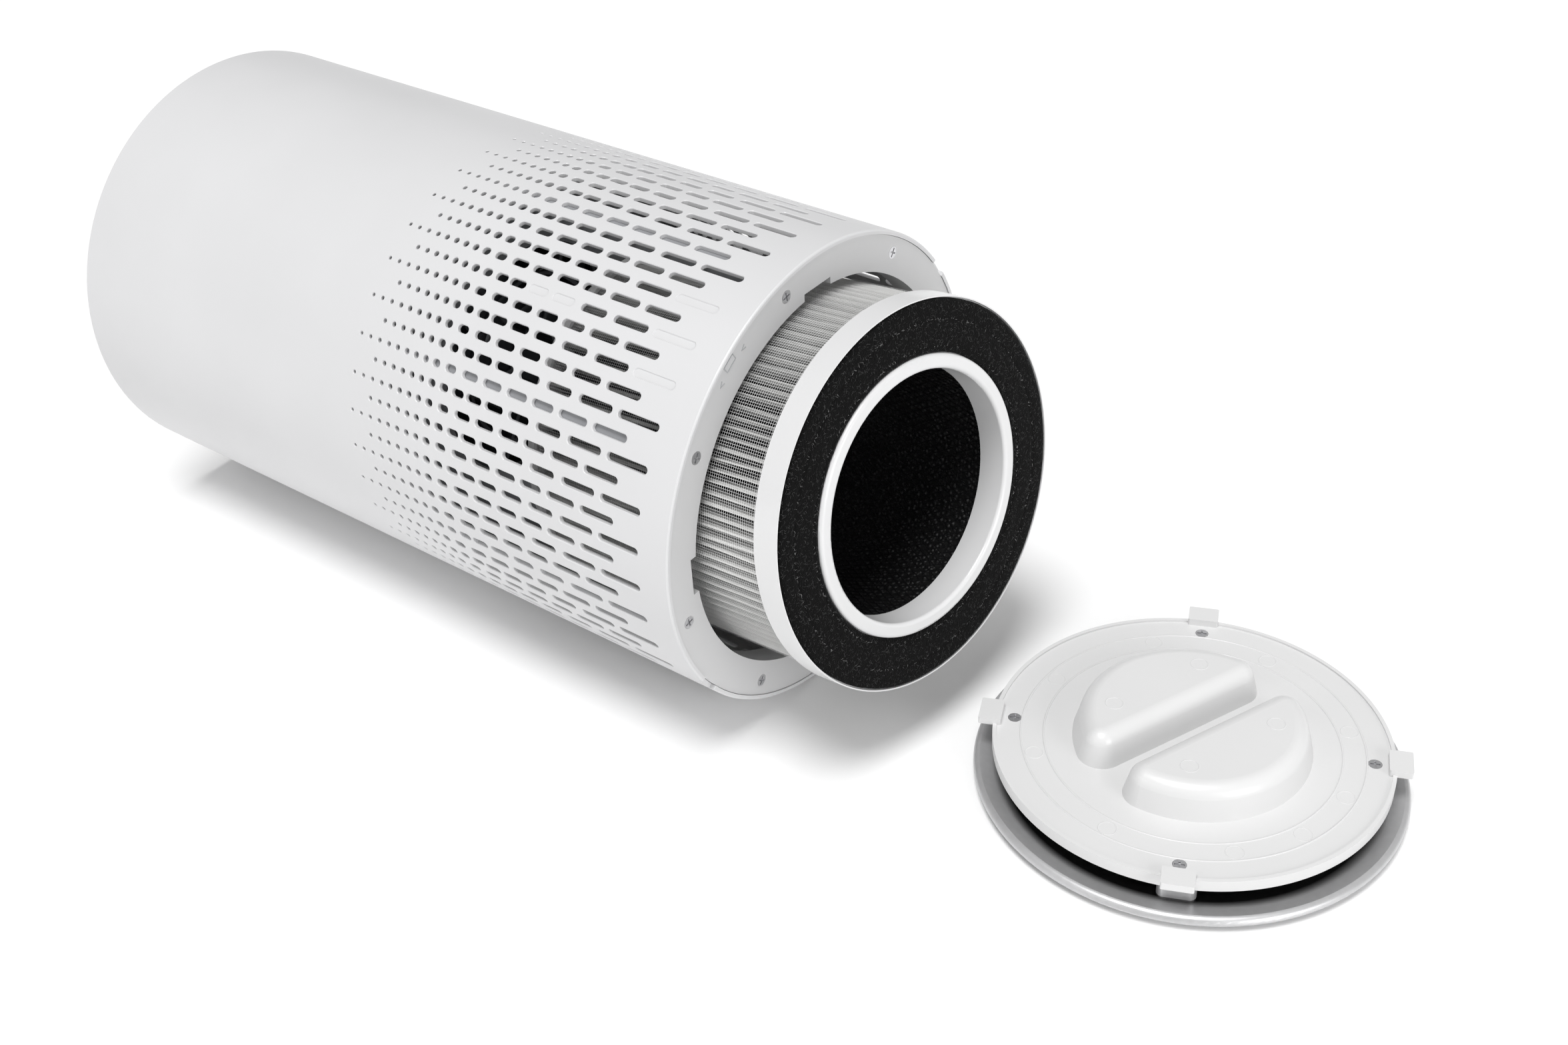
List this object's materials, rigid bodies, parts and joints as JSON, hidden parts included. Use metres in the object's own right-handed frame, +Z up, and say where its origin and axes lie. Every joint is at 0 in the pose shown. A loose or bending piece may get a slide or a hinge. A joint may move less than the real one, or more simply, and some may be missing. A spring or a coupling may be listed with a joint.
{
  "type": "air purifier",
  "caption": "Cylindrical air purifier on its side, perforated shell, filter cartridge half drawn out of its base end, twist-off base cover beside it.",
  "frame": {"origin": "middle of the whole layout's box, at floor level", "axes": "+X runs along the housing from the air outlet towards the base end, +Z is up"},
  "size_m": [0.6876, 0.2425, 0.23],
  "materials": {
    "shell_white": "satin",
    "ring_grey": "matt",
    "screw_zinc": "zinc plated",
    "frame_grey": "matt",
    "fan_grey": "matt",
    "motor_metal": "satin",
    "steel": "ground",
    "board": "lacquered",
    "panel_white": "gloss",
    "button_grey": "matt",
    "gland_rubber": "matt",
    "cap_white": "gloss",
    "felt_black": "fuzzy felt",
    "foam_grey": "open foam",
    "pleat_paper": "matt paper",
    "net_white": "fine net",
    "carbon_black": "granular",
    "mesh_black": "satin mesh",
    "dish_silver": "satin",
    "foot_rubber": "matt"
  },
  "bodies": {
    "housing": {"outer_shell": "shell_white", "base_ring": "ring_grey", "base_ring_screws": "screw_zinc", "bay_frame": "frame_grey", "motor_deck": "frame_grey", "intake_guard": "fan_grey", "guide_vanes": "fan_grey", "fan_motor": "motor_metal", "motor_screws": "screw_zinc", "board_standoffs": "steel", "power_board": "board", "top_ring": "shell_white", "outlet_grille": "ring_grey", "control_panel": "panel_white", "control_board": "board", "cord_gland": "gland_rubber"},
    "impeller": {"impeller": "fan_grey", "motor_shaft": "steel", "shaft_nut": "steel"},
    "power_button": {"power_button": "button_grey"},
    "speed_button": {"speed_button": "button_grey"},
    "timer_button": {"timer_button": "button_grey"},
    "filter": {"filter_front_cap": "cap_white", "filter_rear_cap": "cap_white", "felt_seal": "felt_black", "rear_gasket": "foam_grey", "pleat_pack": "pleat_paper", "outer_net": "net_white", "carbon_bed": "carbon_black", "inner_mesh": "mesh_black"},
    "foot": {"foot_ring": "foot_rubber"},
    "cover": {"base_dish": "dish_silver", "cover_disc": "cap_white", "cover_screws": "screw_zinc"}
  },
  "joints": [
    {"name": "cover_swing", "type": "hinge", "parent": "housing", "child": "foot", "pos_m": [0.09951, 0.01116, -0.03011], "axis": [0.0984, -0.9903, -0.0984], "range_deg": [0, 90.56]},
    {"name": "filter_draw", "type": "hinge", "parent": "housing", "child": "filter", "pos_m": [0.00432, -0.24229, 0.45209], "axis": [0, -0.8192, -0.5736], "range_deg": [-10.8, 0]},
    {"name": "cover_twist", "type": "hinge", "parent": "foot", "child": "cover", "pos_m": [0.2452, 0.02265, 0], "axis": [0, 0, 1], "range_deg": [-14.65, 9.35]},
    {"name": "impeller_spin", "type": "hinge", "parent": "housing", "child": "impeller", "pos_m": [-0.1578, -0.00625, 0.115], "axis": [1, 0, 0], "continuous": true},
    {"name": "power_button_press", "type": "slide", "parent": "housing", "child": "power_button", "axis": [1, 0, 0], "range_m": [0, 0.001], "stiffness_N_per_m": 400, "springref_m": -0.001},
    {"name": "speed_button_press", "type": "slide", "parent": "housing", "child": "speed_button", "axis": [1, 0, 0], "range_m": [0, 0.001], "stiffness_N_per_m": 400, "springref_m": -0.001},
    {"name": "timer_button_press", "type": "slide", "parent": "housing", "child": "timer_button", "axis": [1, 0, 0], "range_m": [0, 0.001], "stiffness_N_per_m": 400, "springref_m": -0.001}
  ],
  "couplings": [
    {"joint": "filter_draw", "follows": "cover_swing", "ratio": -0.11926}
  ]
}
